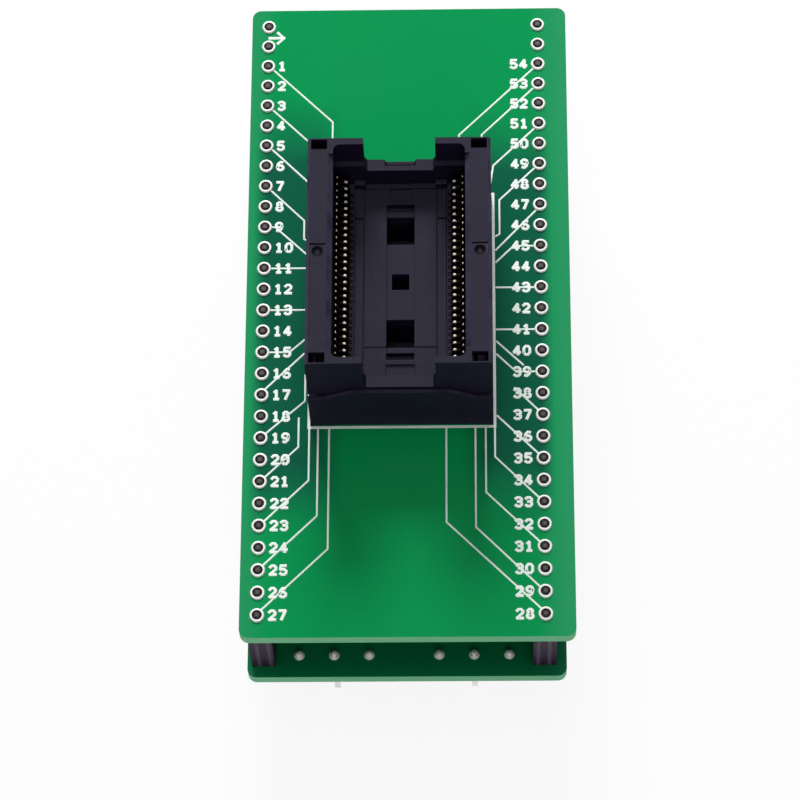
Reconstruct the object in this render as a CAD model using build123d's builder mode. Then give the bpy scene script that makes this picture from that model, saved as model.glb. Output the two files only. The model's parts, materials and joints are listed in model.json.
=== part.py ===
from build123d import *
import os
from math import radians, sin

# Test socket for a thin two-row chip on a plug-in adapter of two circuit boards.
# The upper board carries the socket and plugs into the lower board's female strips.
# The lower board ends in two rows of pins. Millimetres, +Z up, X across, Y along.
# The origin is under the middle of the upper board, at the tips of the lower pins.

# Boards and pin headers
PITCH = 2.54
UPPER_WIDTH = 35.56
BOARD_LENGTH = 75.8
ROW_MARGIN = 2.54
LOWER_INSET = 0.86
LOWER_SHIFT = -0.35
DIP_SPACING = 15.24
DIP_UNUSED = 2
BOARD_THICK = 1.6
BOARD_CORNER = 1.0
GRID_X = -0.65
GRID_Y = 0.18
PIN = 0.64
PIN_HOLE = 0.8
HEADER_BAR = 2.54
FEMALE_HEIGHT = 8.5
FEMALE_HOLE_X = 1.2
FEMALE_HOLE_Y = 0.8
PIN_ENGAGED = 6.0
PIN_ABOVE_BOARD = 0.3
DIP_PIN_LENGTH = 6.0
DIP_ABOVE_BOARD = 0.5
PIN_POINT = 0.2
TERMINAL_THICK = 0.2
TERMINAL_WIDTH = 0.5
TERMINAL_TAIL = 1.2
TERMINAL_TOP_GAP = 0.5
TERMINAL_NECK = 1.6
TERMINAL_BEND = 0.6

# Chip and contacts
CONTACT_COUNT = 27
CONTACT_PITCH = 0.8
CONTACT_THICK = 0.3
CHIP_WIDTH = 10.16
CHIP_END_MARGIN = 0.71
LEAD_SPAN = 11.76
TAIL_WIDTH = 0.3
TAIL_HOLE = 0.5
TAIL_LENGTH = 2.6
TAIL_INNER = 0.52
TAIL_STAGGER = 1.5
FOOT_THICK = 0.6

# Socket mouldings
FLOOR = 1.0
BLOCK_HEIGHT = 4.4
SIDE_WALL_HEIGHT = 8.3
END_WALL_HEIGHT = 8.55
END_WALL_CORNER = 6.95
END_WALL_RISE_INNER = 5.2
END_WALL_RISE_OUTER = 7.9
STOP_HEIGHT = 0.9
STOP_WIDTH = 1.2
PLATFORM_TOP = 7.15
PLATFORM_THICK = 1.5
COVER_TOP = 15.0
PLATE_THICK = 1.0
STROKE = 2.5
RUN = 0.1
BASE_WALL = 0.4
SIDE_WALL = 0.8
SKIRT_GAP = 0.15
SKIRT_THICK = 0.6
SKIRT_LENGTH = 7.9
END_FRAME = 1.35
END_FRAME_UPPER = 0.75
LEDGE_HEIGHT = 11.1
REAR_GAP_HEIGHT = 10.0
FRONT_GAP_HEIGHT = 8.9
GAP_HALF = 3.85
NOTCH_HALF = 1.7
NOTCH_DEPTH = 1.9
RAIL_WIDTH = 2.2
RAIL_BEVEL = 0.55
BEVEL_END = 1.1
WINDOW_WALL_X = 0.4
WINDOW_WALL_Y = 0.15
PANEL_WIDTH = 1.5
PANEL_LENGTH = 10.6
PANEL_DEPTH = 0.1
DIMPLE_RADIUS = 0.52
OPENING_CORNER = 0.7
CAM_WIDTH = 0.8
CAM_HEIGHT = 1.4
CAM_DROP = 1.0
END_STOP = 0.6
CATCH_X = 5.5
CATCH_WIDTH = 1.2
CATCH_HEIGHT = 0.7
CATCH_DEPTH = 0.35
PEG = 1.2
PEG_LENGTH = 1.3

# Moving arms
ARM_PIVOT_OUT = 0.72
ARM_PIVOT_HEIGHT = 4.5
ARM_SWING = 14.0
ARM_TOP = 11.5
ARM_BEAM = 0.55

# Cover springs
SPRING_RADIUS = 0.55
SPRING_WIRE = 0.22
SPRING_TURNS = 3

# Counts and widths that follow from the boards
header_count = int(BOARD_LENGTH // PITCH)
dip_count = header_count - DIP_UNUSED
row_spacing = UPPER_WIDTH - 2 * ROW_MARGIN
lower_width = UPPER_WIDTH - LOWER_INSET

# Heights of the stack, from the pin tips up
dip_bar_bottom = DIP_PIN_LENGTH
lower_bottom = dip_bar_bottom + HEADER_BAR
lower_top = lower_bottom + BOARD_THICK
female_top = lower_top + FEMALE_HEIGHT
upper_bottom = female_top + HEADER_BAR
upper_top = upper_bottom + BOARD_THICK

# Widths of the socket, worked outward from the tips of the chip's leads
lead_tip = LEAD_SPAN / 2
riser_inner = lead_tip - 0.73
riser_outer = lead_tip - 0.33
comb_outer = riser_outer + 0.05
comb_inner = comb_outer - 0.6
seat_outer = lead_tip + 0.07
seat_height = PLATFORM_TOP - RUN
pivot_x = lead_tip + ARM_PIVOT_OUT
arm_inner = pivot_x - 0.2
arm_outer = arm_inner + ARM_BEAM
cam_inner = arm_outer + 0.15
cam_outer = cam_inner + CAM_WIDTH
wall_inner = cam_outer + 0.35
wall_outer = wall_inner + SIDE_WALL
skirt_inner = wall_outer + SKIRT_GAP
cover_x = skirt_inner + SKIRT_THICK
base_x = cover_x + 0.05
rail_inner = cover_x - RAIL_WIDTH

# Lengths of the socket, worked outward from the ends of the chip
contact_span = (CONTACT_COUNT - 1) * CONTACT_PITCH
chip_y = contact_span / 2 + CHIP_END_MARGIN
stop_inner = chip_y + 0.09
stop_outer = stop_inner + END_STOP
frame_inner = stop_outer + RUN
frame_outer = frame_inner + END_FRAME
frame_upper = frame_outer - END_FRAME_UPPER
well_outer = frame_outer + RUN
base_y = well_outer + BASE_WALL

# Heights of the cover at rest
plate_bottom = COVER_TOP - PLATE_THICK
skirt_bottom = COVER_TOP - SKIRT_LENGTH
frame_bottom = FLOOR + STROKE + 2.1
cam_bottom = frame_bottom - CAM_DROP


def board_plane(z):
    """Level plane with its origin at the middle of the pin grid."""
    return Plane((GRID_X, GRID_Y, z))


def socket_plane(height):
    """Level plane at a height above the upper board."""
    return board_plane(upper_top + height)


def cross_plane(y):
    """Upright plane across the socket, local x to the right and local y up."""
    return Plane((GRID_X, GRID_Y + y, upper_top), x_dir=(1, 0, 0), z_dir=(0, -1, 0))


def profile_planes(side, along):
    """Upright planes across the socket, local x outward and local y up."""
    return [
        Plane((GRID_X, GRID_Y + y, upper_top), x_dir=(side, 0, 0), z_dir=(0, -side, 0))
        for y in along
    ]


def contact_rows():
    """Places along the row of the contacts with an inner and with an outer tail."""
    start = -contact_span / 2
    places = [start + i * CONTACT_PITCH for i in range(CONTACT_COUNT)]
    return places[0::2], places[1::2]


def tail_places():
    """Distance across, and places along, of each of the two tail rows of one side."""
    inner, outer = contact_rows()
    return [(lead_tip + TAIL_INNER, inner), (lead_tip + TAIL_INNER + TAIL_STAGGER, outer)]


def dip_centre():
    """The lower pins fill the front end of the header grid."""
    return -DIP_UNUSED * PITCH / 2


def save(builder, name):
    builder.part.label = name
    export_step(builder.part, f"parts/{name}.step")


def make_upper_board():
    with BuildPart() as upper_board:
        with BuildSketch(Plane.XY.offset(upper_bottom)):
            RectangleRounded(UPPER_WIDTH, BOARD_LENGTH, BOARD_CORNER)
        extrude(amount=BOARD_THICK)
        with BuildSketch(board_plane(upper_bottom)):
            with GridLocations(row_spacing, PITCH, 2, header_count):
                Rectangle(PIN_HOLE, PIN_HOLE)
            for across, along in tail_places():
                with Locations(*[(side * across, y) for side in (-1, 1) for y in along]):
                    Rectangle(TAIL_HOLE, TAIL_HOLE)
            with Locations((0, -peg_y()), (0, peg_y())):
                Circle(PEG / 2 + 0.05)
        extrude(amount=BOARD_THICK, mode=Mode.SUBTRACT)
    save(upper_board, "upper_board")


def make_lower_board():
    with BuildPart() as lower_board:
        with BuildSketch(Plane((LOWER_SHIFT, 0, lower_bottom))):
            RectangleRounded(lower_width, BOARD_LENGTH, BOARD_CORNER)
        extrude(amount=BOARD_THICK)
        with BuildSketch(board_plane(lower_bottom)):
            with GridLocations(row_spacing, PITCH, 2, header_count):
                Rectangle(PIN_HOLE, PIN_HOLE)
            with Locations((0, dip_centre())):
                with GridLocations(DIP_SPACING, PITCH, 2, dip_count):
                    Rectangle(PIN_HOLE, PIN_HOLE)
        extrude(amount=BOARD_THICK, mode=Mode.SUBTRACT)
    save(lower_board, "lower_board")


def pin_bar(x, y, bottom, count, hole_x, hole_y, height):
    """Insulator bar with a square hole for each pin."""
    with BuildPart() as bar:
        with BuildSketch(Plane((GRID_X + x, GRID_Y + y, bottom))):
            Rectangle(HEADER_BAR, count * PITCH)
            with GridLocations(0, PITCH, 1, count):
                Rectangle(hole_x, hole_y, mode=Mode.SUBTRACT)
        extrude(amount=height)
    return bar


def pin_row(x, y, bottom, top, count):
    """Square pins, pointed at the lower end where they plug into a socket."""
    with BuildPart() as pins:
        with BuildSketch(Plane((GRID_X + x, GRID_Y + y, bottom))):
            with GridLocations(0, PITCH, 1, count):
                Rectangle(PIN, PIN)
        extrude(amount=top - bottom)
        chamfer(pins.faces().group_by(Axis.Z)[0].edges(), PIN_POINT)
    return pins


def make_headers():
    """Male headers under the upper board, one at each long edge."""
    for side, word in ((-1, "left"), (1, "right")):
        x = side * row_spacing / 2
        bar = pin_bar(x, 0, female_top, header_count, PIN, PIN, HEADER_BAR)
        save(bar, f"{word}_header_bar")
        pin_bottom = female_top - PIN_ENGAGED
        pins = pin_row(x, 0, pin_bottom, upper_top + PIN_ABOVE_BOARD, header_count)
        save(pins, f"{word}_header_pins")


def make_female_strips():
    """Female strips on the lower board, with a leaf terminal beside each pin."""
    leaf_inner = PIN / 2 + 0.02
    leaf_outer = leaf_inner + TERMINAL_THICK
    tail = TERMINAL_THICK * 0.75
    bend_top = lower_top + TERMINAL_NECK
    leaf_top = female_top - TERMINAL_TOP_GAP
    first = -(header_count - 1) * PITCH / 2
    for side, word in ((-1, "left"), (1, "right")):
        x = side * row_spacing / 2
        strip = pin_bar(x, 0, lower_top, header_count, FEMALE_HOLE_X, FEMALE_HOLE_Y,
                        FEMALE_HEIGHT)
        save(strip, f"{word}_female_strip")
        planes = [
            Plane((GRID_X + x, GRID_Y + first + i * PITCH, 0), x_dir=(side, 0, 0),
                  z_dir=(0, -side, 0))
            for i in range(header_count)
        ]
        with BuildPart() as terminals:
            with BuildSketch(*planes):
                Polygon(
                    (leaf_outer, leaf_top),
                    (leaf_inner, leaf_top),
                    (leaf_inner, bend_top),
                    (-tail, bend_top - TERMINAL_BEND),
                    (-tail, lower_bottom - TERMINAL_TAIL),
                    (tail, lower_bottom - TERMINAL_TAIL),
                    (tail, bend_top - TERMINAL_BEND - tail),
                    (leaf_outer, bend_top - tail),
                    align=None,
                )
            extrude(amount=TERMINAL_WIDTH / 2, both=True)
        save(terminals, f"{word}_strip_terminals")


def make_dip_strips():
    """Pin strips under the lower board that plug into a programmer."""
    y = dip_centre()
    for side, word in ((-1, "left"), (1, "right")):
        x = side * DIP_SPACING / 2
        bar = pin_bar(x, y, dip_bar_bottom, dip_count, PIN, PIN, HEADER_BAR)
        save(bar, f"{word}_dip_bar")
        pins = pin_row(x, y, 0, lower_top + DIP_ABOVE_BOARD, dip_count)
        save(pins, f"{word}_dip_pins")


def peg_y():
    """The locating pegs stand under the middle of the end wells."""
    return (frame_inner + frame_outer) / 2


def make_socket_base():
    """Base: a walled trench round an island that holds the chip and the contacts."""
    end_flange = arm_outer - 0.05
    with BuildPart() as socket_base:
        with BuildSketch(socket_plane(0)):
            Rectangle(2 * base_x, 2 * base_y)
        extrude(amount=BLOCK_HEIGHT)
        # Outer end walls, lower towards the corners
        for sign in (-1, 1):
            with BuildSketch(cross_plane(sign * base_y)):
                Polygon(
                    (-base_x, BLOCK_HEIGHT),
                    (base_x, BLOCK_HEIGHT),
                    (base_x, END_WALL_CORNER),
                    (END_WALL_RISE_OUTER, END_WALL_CORNER),
                    (END_WALL_RISE_INNER, END_WALL_HEIGHT),
                    (-END_WALL_RISE_INNER, END_WALL_HEIGHT),
                    (-END_WALL_RISE_OUTER, END_WALL_CORNER),
                    (-base_x, END_WALL_CORNER),
                    align=None,
                )
            extrude(amount=sign * BASE_WALL)
        # Side walls that stand inside the cover's skirts
        with BuildSketch(socket_plane(BLOCK_HEIGHT)):
            with GridLocations(wall_inner + wall_outer, 0, 2, 1):
                Rectangle(SIDE_WALL, 2 * (stop_outer - RUN))
        extrude(amount=SIDE_WALL_HEIGHT - BLOCK_HEIGHT)
        # The trench runs round the island
        with BuildSketch(socket_plane(FLOOR)):
            Rectangle(2 * wall_inner, 2 * well_outer)
        extrude(amount=BLOCK_HEIGHT - FLOOR, mode=Mode.SUBTRACT)
        with BuildSketch(socket_plane(FLOOR)):
            Rectangle(2 * comb_outer, 2 * stop_outer)
            with GridLocations(0, stop_inner + stop_outer, 1, 2):
                Rectangle(2 * end_flange, END_STOP)
        extrude(amount=PLATFORM_TOP - RUN / 2 - FLOOR)
        # Stops at the chip's corners stand above the island
        with BuildSketch(socket_plane(PLATFORM_TOP - RUN / 2)):
            with GridLocations(2 * comb_inner - STOP_WIDTH, stop_inner + stop_outer, 2, 2):
                Rectangle(STOP_WIDTH, END_STOP)
        extrude(amount=RUN / 2 + STOP_HEIGHT)
        # Seat of the chip platform, with the platform's openings carried down
        with BuildSketch(socket_plane(platform_bottom())):
            Rectangle(2 * comb_inner, 2 * stop_inner)
        extrude(amount=PLATFORM_THICK, mode=Mode.SUBTRACT)
        with BuildSketch(socket_plane(FLOOR)):
            platform_openings()
        extrude(amount=platform_bottom() - FLOOR, mode=Mode.SUBTRACT)
        # Comb slots for the contacts
        with BuildSketch(socket_plane(FLOOR)):
            with GridLocations(riser_inner + comb_outer, CONTACT_PITCH, 2, CONTACT_COUNT):
                Rectangle(comb_outer - riser_inner, CONTACT_THICK + RUN)
        extrude(amount=PLATFORM_TOP - FLOOR, mode=Mode.SUBTRACT)
        # A slot in the floor for each row of contact tails
        with BuildSketch(socket_plane(0)):
            for across, along in tail_places():
                with GridLocations(2 * across, 0, 2, 1):
                    Rectangle(TAIL_WIDTH + RUN, along[-1] - along[0] + CONTACT_THICK + RUN)
        extrude(amount=FLOOR, mode=Mode.SUBTRACT)
        # Windows for the cover's catches
        with BuildSketch(socket_plane(frame_bottom - STROKE - RUN)):
            with GridLocations(2 * CATCH_X, stop_inner + stop_outer, 2, 2):
                Rectangle(CATCH_WIDTH + 2 * RUN, END_STOP)
        extrude(amount=STROKE + RUN + CATCH_HEIGHT + RUN / 2, mode=Mode.SUBTRACT)
        # Locating pegs
        with BuildSketch(socket_plane(0)):
            with Locations((0, -peg_y()), (0, peg_y())):
                Circle(PEG / 2)
        extrude(amount=-PEG_LENGTH)
    save(socket_base, "socket_base")


def platform_bottom():
    return PLATFORM_TOP - PLATFORM_THICK


def channel_half():
    return CHIP_WIDTH / 2 - 3.58


def platform_openings():
    """Openings down the middle of the platform, drawn on the sketch in hand."""
    width = 2 * channel_half()
    near = 0.404 * chip_y
    far = 0.7 * chip_y
    with GridLocations(0, near + far, 1, 2):
        Rectangle(width, far - near)
    Rectangle(width * 0.62, width * 0.62)


def make_chip_platform():
    """Plate that the chip's body rests on, ribbed beside the contacts."""
    half_x = comb_inner - 0.05
    half_y = stop_inner - 0.05
    groove_x = half_x - 1.0
    bar = 0.76 * chip_y
    with BuildPart() as chip_platform:
        with BuildSketch(socket_plane(platform_bottom())):
            Rectangle(2 * half_x, 2 * half_y)
        extrude(amount=PLATFORM_THICK)
        # Channel down the middle
        with BuildSketch(socket_plane(PLATFORM_TOP)):
            Rectangle(2 * channel_half(), 2 * 0.835 * chip_y)
            with Locations((0, half_y)):
                Rectangle(1.6 * channel_half(), 0.28 * chip_y)
            with Locations((0, -half_y)):
                Rectangle(2.1 * channel_half(), 0.24 * chip_y)
        extrude(amount=-0.3, mode=Mode.SUBTRACT)
        # Slots beyond the cross bars
        with BuildSketch(socket_plane(PLATFORM_TOP)):
            with GridLocations(0, 2 * 0.797 * chip_y, 1, 2):
                Rectangle(2 * channel_half(), 0.0765 * chip_y)
        extrude(amount=-1.1, mode=Mode.SUBTRACT)
        # Grooves beside the ribs, and a small notch across each rib
        with BuildSketch(socket_plane(PLATFORM_TOP)):
            with GridLocations(2 * groove_x, 0, 2, 1):
                Rectangle(0.15, 2 * half_y)
            with Locations((-half_x + 0.5, 0.675 * chip_y), (half_x - 0.5, 0.675 * chip_y)):
                Rectangle(1.0, 0.3)
        extrude(amount=-0.35, mode=Mode.SUBTRACT)
        # Lower ends of the flat plates
        with BuildSketch(socket_plane(PLATFORM_TOP)):
            with GridLocations(0, bar - 0.06 * chip_y + half_y, 1, 2):
                Rectangle(2 * groove_x - 0.15, half_y - bar + 0.06 * chip_y)
        extrude(amount=-0.1, mode=Mode.SUBTRACT)
        with BuildSketch(socket_plane(platform_bottom())):
            platform_openings()
        extrude(amount=PLATFORM_THICK, mode=Mode.SUBTRACT)
    save(chip_platform, "chip_platform")


def make_socket_cover():
    """Cover: a frame with hollow rails, lowered end walls and inner cam bars."""
    window_inner = rail_inner + RUN
    window_outer = cover_x - WINDOW_WALL_X
    window_front = frame_inner + RUN / 2
    window_rear = frame_outer - WINDOW_WALL_Y
    panel_x = cover_x - 1.15
    with BuildPart() as socket_cover:
        # Top plate with the skirts of the rails
        with BuildSketch(socket_plane(plate_bottom)):
            Rectangle(2 * cover_x, 2 * frame_outer)
            RectangleRounded(2 * (rail_inner - RAIL_BEVEL), 2 * frame_upper, OPENING_CORNER,
                             mode=Mode.SUBTRACT)
        extrude(amount=PLATE_THICK)
        with BuildSketch(socket_plane(skirt_bottom)):
            with GridLocations(2 * cover_x - SKIRT_THICK, 0, 2, 1):
                Rectangle(SKIRT_THICK, 2 * frame_outer)
            with GridLocations(0, frame_upper + frame_outer, 1, 2):
                Rectangle(2 * cover_x, END_FRAME_UPPER)
        extrude(amount=plate_bottom - skirt_bottom)
        # Thick lower part of the end walls
        with BuildSketch(socket_plane(frame_bottom)):
            with GridLocations(0, frame_inner + frame_outer, 1, 2):
                Rectangle(2 * (wall_inner - RUN), END_FRAME)
        extrude(amount=LEDGE_HEIGHT - frame_bottom)
        # Cam bars, and the legs that carry them
        with BuildSketch(socket_plane(cam_bottom)):
            with GridLocations(cam_inner + cam_outer, 0, 2, 1):
                Rectangle(CAM_WIDTH, 2 * frame_outer)
        extrude(amount=CAM_HEIGHT)
        # Bevel along the inner edge of the rails, short of the corners
        with BuildSketch(cross_plane(0)):
            for side in (-1, 1):
                Polygon(
                    (side * (rail_inner - RAIL_BEVEL), COVER_TOP - RAIL_BEVEL),
                    (side * rail_inner, COVER_TOP),
                    (side * (rail_inner - RAIL_BEVEL), COVER_TOP),
                    align=None,
                )
        extrude(amount=frame_upper - BEVEL_END, both=True, mode=Mode.SUBTRACT)
        # The middle of each end wall is lower, and the rear one has a notch in its outer layer
        for sign, height in ((-1, FRONT_GAP_HEIGHT), (1, REAR_GAP_HEIGHT)):
            with BuildSketch(cross_plane(sign * stop_outer)):
                Polygon(
                    (-GAP_HALF, COVER_TOP + 1),
                    (-GAP_HALF, height + 0.7),
                    (-GAP_HALF + 0.3, height),
                    (GAP_HALF - 0.3, height),
                    (GAP_HALF, height + 0.7),
                    (GAP_HALF, COVER_TOP + 1),
                    align=None,
                )
            extrude(amount=-sign * (frame_outer + 1 - stop_outer), mode=Mode.SUBTRACT)
        with BuildSketch(cross_plane(frame_upper)):
            Polygon(
                (-NOTCH_HALF, REAR_GAP_HEIGHT),
                (-NOTCH_HALF + 0.5, REAR_GAP_HEIGHT - NOTCH_DEPTH),
                (NOTCH_HALF - 0.5, REAR_GAP_HEIGHT - NOTCH_DEPTH),
                (NOTCH_HALF, REAR_GAP_HEIGHT),
                align=None,
            )
        extrude(amount=-END_FRAME_UPPER, mode=Mode.SUBTRACT)
        # Windows above the corners
        with BuildSketch(socket_plane(skirt_bottom)):
            with GridLocations(window_inner + window_outer, window_front + window_rear, 2, 2):
                Rectangle(window_outer - window_inner, window_rear - window_front)
        extrude(amount=SKIRT_LENGTH, mode=Mode.SUBTRACT)
        # Catches on the inner faces of the end walls
        for sign in (-1, 1):
            tooth = Plane((GRID_X, GRID_Y + sign * frame_inner, upper_top + frame_bottom),
                          x_dir=(0, -sign, 0), z_dir=(1, 0, 0) if sign < 0 else (-1, 0, 0))
            for place in (-CATCH_X, CATCH_X):
                with BuildSketch(tooth.offset(place)):
                    Polygon(
                        (0, 0),
                        (0.1, 0),
                        (CATCH_DEPTH, CATCH_HEIGHT - 0.2),
                        (CATCH_DEPTH, CATCH_HEIGHT),
                        (0, CATCH_HEIGHT),
                        align=None,
                    )
                extrude(amount=CATCH_WIDTH / 2, both=True)
        # Details in the tops of the rails
        with BuildSketch(socket_plane(COVER_TOP)):
            with GridLocations(2 * (cover_x - 1.2), 0, 2, 1):
                with Locations((0, 0.65)):
                    Rectangle(1.7, 0.18)
                with Locations((0, -0.15)):
                    Circle(DIMPLE_RADIUS)
        extrude(amount=-0.25, mode=Mode.SUBTRACT)
        with BuildSketch(socket_plane(COVER_TOP)):
            with Locations((-panel_x, 0.56 - PANEL_LENGTH / 2)):
                Rectangle(PANEL_WIDTH, PANEL_LENGTH)
            with Locations((panel_x, 0)):
                Rectangle(PANEL_WIDTH, 1.12)
        extrude(amount=-PANEL_DEPTH, mode=Mode.SUBTRACT)
        # Edges
        top_outer = socket_cover.edges().filter_by(Axis.Y).group_by(Axis.Z)[-1]
        outer = top_outer.filter_by(
            lambda e: abs(abs(e.center().X - GRID_X) - cover_x) < 0.01
        )
        chamfer(outer, 0.3)
    save(socket_cover, "socket_cover")


def make_fixed_contacts():
    """Lower half of each contact: tail, foot, riser and the seat under the lead."""
    for side, word in ((-1, "left"), (1, "right")):
        with BuildPart() as contacts:
            for across, along in tail_places():
                with BuildSketch(*profile_planes(side, along)):
                    Polygon(
                        (riser_inner, FLOOR),
                        (across - TAIL_WIDTH / 2, FLOOR),
                        (across - TAIL_WIDTH / 2, -TAIL_LENGTH),
                        (across + TAIL_WIDTH / 2, -TAIL_LENGTH),
                        (across + TAIL_WIDTH / 2, FLOOR + FOOT_THICK),
                        (riser_outer, FLOOR + FOOT_THICK),
                        (riser_outer, seat_height - 0.6),
                        (seat_outer, seat_height - 0.25),
                        (seat_outer, seat_height),
                        (riser_inner, seat_height),
                        align=None,
                    )
                extrude(amount=CONTACT_THICK / 2, both=True)
        save(contacts, f"{word}_fixed_contacts")


def make_contact_arms():
    """Upper half of each contact: cam tail, beam, head and the nose on the lead."""
    tip = seat_height + RUN
    tail_end = FLOOR + FOOT_THICK + 0.3
    tail_reach = (ARM_PIVOT_HEIGHT - tail_end) * sin(radians(ARM_SWING)) + 0.22
    for side, word in ((-1, "left"), (1, "right")):
        inner, outer = contact_rows()
        with BuildPart() as arms:
            with BuildSketch(*profile_planes(side, inner + outer)):
                Polygon(
                    (pivot_x + 0.2, tail_end),
                    (pivot_x + tail_reach, tail_end),
                    (arm_outer, ARM_PIVOT_HEIGHT - 0.2),
                    (arm_outer, ARM_TOP - 0.3),
                    (arm_outer - 0.2, ARM_TOP),
                    (arm_inner + 0.18, ARM_TOP - 0.35),
                    (arm_inner - 0.02, ARM_TOP - 1.35),
                    (lead_tip + 0.12, ARM_TOP - 1.2),
                    (lead_tip - 0.03, ARM_TOP - 1.1),
                    (riser_outer + 0.02, ARM_TOP - 1.35),
                    (riser_outer - 0.1, tip + 0.2),
                    (riser_outer + 0.2, tip),
                    (lead_tip + 0.02, tip + 2.25),
                    (arm_inner - 0.05, tip + 2.55),
                    (arm_inner, ARM_PIVOT_HEIGHT),
                    align=None,
                )
            extrude(amount=CONTACT_THICK / 2, both=True)
        save(arms, f"{word}_contact_arms")


def make_cover_springs():
    """A coil spring in each end well, under the middle of the cover's end wall."""
    length = frame_bottom - FLOOR
    rise = length - SPRING_WIRE
    with BuildPart() as spring:
        with BuildLine(Plane.XY.offset(SPRING_WIRE / 2)) as path:
            Helix(pitch=rise / SPRING_TURNS, height=rise, radius=SPRING_RADIUS)
        with BuildSketch(Plane(path.line @ 0, z_dir=path.line % 0)):
            Rectangle(SPRING_WIRE, SPRING_WIRE)
        sweep(path=path.line, is_frenet=True)
    for end, word in ((-1, "front"), (1, "rear")):
        place = Location((GRID_X, GRID_Y + end * peg_y(), upper_top + FLOOR))
        with BuildPart() as placed:
            add(spring.part.moved(place))
        save(placed, f"{word}_cover_spring")


os.makedirs("parts", exist_ok=True)
make_upper_board()
make_lower_board()
make_headers()
make_female_strips()
make_dip_strips()
make_socket_base()
make_chip_platform()
make_socket_cover()
make_fixed_contacts()
make_contact_arms()
make_cover_springs()
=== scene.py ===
import json
from math import radians

import bpy
from mathutils import Matrix, Vector

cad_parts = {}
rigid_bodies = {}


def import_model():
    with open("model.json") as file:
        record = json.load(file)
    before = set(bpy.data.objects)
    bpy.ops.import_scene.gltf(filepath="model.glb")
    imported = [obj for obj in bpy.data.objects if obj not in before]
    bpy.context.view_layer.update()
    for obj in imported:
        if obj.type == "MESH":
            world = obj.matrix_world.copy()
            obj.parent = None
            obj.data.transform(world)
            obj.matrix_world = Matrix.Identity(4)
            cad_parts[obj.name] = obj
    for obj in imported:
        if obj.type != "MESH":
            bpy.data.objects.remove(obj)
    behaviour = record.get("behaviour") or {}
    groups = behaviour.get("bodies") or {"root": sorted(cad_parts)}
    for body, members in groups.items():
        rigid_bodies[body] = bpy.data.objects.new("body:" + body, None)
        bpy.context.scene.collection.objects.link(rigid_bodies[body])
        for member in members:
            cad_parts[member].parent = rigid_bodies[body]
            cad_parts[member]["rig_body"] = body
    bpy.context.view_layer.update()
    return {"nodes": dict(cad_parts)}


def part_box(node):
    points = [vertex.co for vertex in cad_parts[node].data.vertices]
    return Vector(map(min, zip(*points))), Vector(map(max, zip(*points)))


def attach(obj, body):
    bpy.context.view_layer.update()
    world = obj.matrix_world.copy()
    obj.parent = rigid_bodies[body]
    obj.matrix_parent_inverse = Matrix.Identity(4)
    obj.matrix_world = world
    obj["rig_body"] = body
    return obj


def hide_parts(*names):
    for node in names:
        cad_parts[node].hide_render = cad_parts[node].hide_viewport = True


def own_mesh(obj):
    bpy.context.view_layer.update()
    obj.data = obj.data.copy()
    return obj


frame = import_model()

bl_info = {
    "name": "Test Socket Adapter",
    "version": (1, 0, 0),
    "blender": (4, 5, 0),
    "location": "3D View > Sidebar > Test Socket",
    "description": "Dresses the chip test socket and its two-board adapter",
    "category": "Object",
}

MM = 0.001
PITCH = 2.54 * MM
HEADER_COUNT = 29
LOWER_PIN_COUNT = 27
CONTACT_COUNT = 27
CONTACT_PITCH = 0.8 * MM
BOARD_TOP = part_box("upper_board")[1].z
BOARD_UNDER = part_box("upper_board")[0].z
LOWER_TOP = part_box("lower_board")[1].z
LOWER_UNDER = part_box("lower_board")[0].z


def middle_of(node):
    """Middle of a node's box, seen from above."""
    low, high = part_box(node)
    return (low.x + high.x) / 2, (low.y + high.y) / 2


LEFT_ROW_X, ROW_Y = middle_of("left_header_bar")
RIGHT_ROW_X = middle_of("right_header_bar")[0]
GRID_X = (LEFT_ROW_X + RIGHT_ROW_X) / 2
FIRST_PIN_Y = ROW_Y + (HEADER_COUNT - 1) * PITCH / 2
FIRST_DIP_Y = middle_of("left_dip_bar")[1] + (LOWER_PIN_COUNT - 1) * PITCH / 2
HALF_SPAN = 12 * PITCH / 2
BOARD_HALF_X = (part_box("upper_board")[1].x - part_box("upper_board")[0].x) / 2
POUR_HALF_Y = 24 * MM

# Rounding, smoothing and welding of meshes
SMOOTH_ANGLE = 40
BEVEL_ANGLE = 28
FLAT_ANGLE = 0.5
WELD_REACH = 1e-7

# Sizes of added pieces
RING_BORE = 0.33 * MM
OUTLINE_SIZE = (20.4 * MM, 28.4 * MM)
OUTLINE_WIDTH = 0.3 * MM
ARROW_WIDTH = 0.34 * MM
NUMBER_LIFT = 0.02 * MM
BAR_CORNER = 0.42 * MM
BAR_INSET = 0.12 * MM
SPRING_EDGE = 0.06 * MM
TAIL_INSET = 0.15 * MM
TAIL_STAGGER = 1.5 * MM

# Solder on the lower board's top: three columns of joints on each side
JOINT_COLUMNS = 3
COLUMN_STEP = 1.5 * PITCH
COLUMN_GROUP_STEP = 6 * PITCH
FIRST_COLUMN_X = GRID_X - 4.5 * PITCH

# Layout of the pin numbers: offsets from the pin rows, and shares of a digit's height
LEFT_NUMBERS_OFF = 2.15 * MM
RIGHT_NUMBERS_OFF = 2.2 * MM
ONE_DIGIT_SHIFT = 0.58 * MM
DIGIT_STEP = 1.08
DIGIT_CELL = 0.64
DIGIT_STRETCH = 0.92

# Strokes of print lie in turn a little higher, so that crossing ones don't coincide
PRINT_LAYERS = 5
PRINT_LAYER_STEP = 0.08
STROKE_END_SPARE = 0.25

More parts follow.
